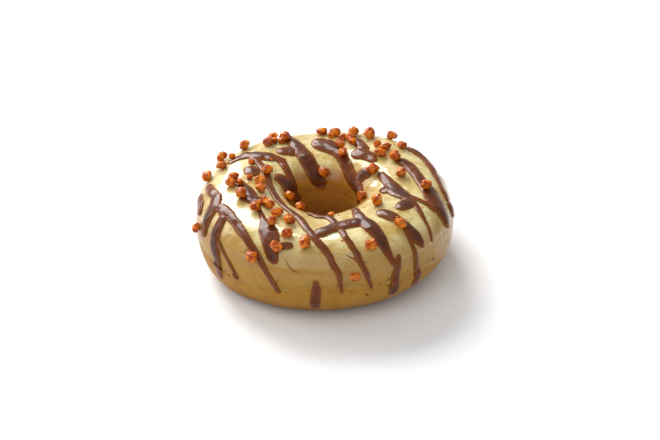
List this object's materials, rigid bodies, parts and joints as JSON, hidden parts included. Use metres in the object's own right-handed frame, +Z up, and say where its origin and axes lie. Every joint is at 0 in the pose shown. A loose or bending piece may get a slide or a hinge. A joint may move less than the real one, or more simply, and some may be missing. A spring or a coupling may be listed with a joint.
{
  "type": "ring doughnut",
  "caption": "Round ring doughnut with a hole through its middle, a pale glaze, slanting chocolate strokes and amber brittle crumbs.",
  "frame": {"origin": "on the surface it rests on, at the middle of its outline seen from above", "axes": "+Z up through the hole, -Y towards the front, +X to the right seen from the front"},
  "size_m": [0.0904, 0.0892, 0.0352],
  "materials": {
    "dough": "fried dough, matt and finely wrinkled",
    "glaze": "pale sugar glaze, smooth and glossy",
    "chocolate": "set dark chocolate, glossy",
    "brittle": "amber caramel brittle, glossy and slightly see-through"
  },
  "bodies": {
    "root": {"dough_ring": "dough", "glaze_coat": "glaze", "chocolate_left": "chocolate", "chocolate_left_inner": "chocolate", "chocolate_middle": "chocolate", "chocolate_droplet_left": "chocolate", "chocolate_back": "chocolate", "chocolate_inner_right": "chocolate", "chocolate_dollop_back": "chocolate", "chocolate_right_front": "chocolate", "chocolate_right": "chocolate", "chocolate_right_edge": "chocolate", "chocolate_right_drop": "chocolate", "chocolate_left_edge": "chocolate", "chocolate_front_drip": "chocolate", "crumb_1": "brittle", "crumb_2": "brittle", "crumb_3": "brittle", "crumb_4": "brittle", "crumb_5": "brittle", "crumb_6": "brittle", "crumb_7": "brittle", "crumb_8": "brittle", "crumb_9": "brittle", "crumb_10": "brittle", "crumb_11": "brittle", "crumb_12": "brittle", "crumb_13": "brittle", "crumb_14": "brittle", "crumb_15": "brittle", "crumb_16": "brittle", "crumb_17": "brittle", "crumb_18": "brittle", "crumb_19": "brittle", "crumb_20": "brittle", "crumb_21": "brittle", "crumb_22": "brittle", "crumb_23": "brittle", "crumb_24": "brittle", "crumb_25": "brittle", "crumb_26": "brittle", "crumb_27": "brittle", "crumb_28": "brittle", "crumb_29": "brittle", "crumb_30": "brittle", "crumb_31": "brittle", "crumb_32": "brittle", "crumb_33": "brittle", "crumb_34": "brittle", "crumb_35": "brittle", "crumb_36": "brittle", "crumb_37": "brittle", "crumb_38": "brittle", "crumb_39": "brittle", "crumb_40": "brittle", "crumb_41": "brittle", "crumb_42": "brittle", "crumb_43": "brittle", "crumb_44": "brittle", "crumb_45": "brittle"}
  },
  "joints": []
}
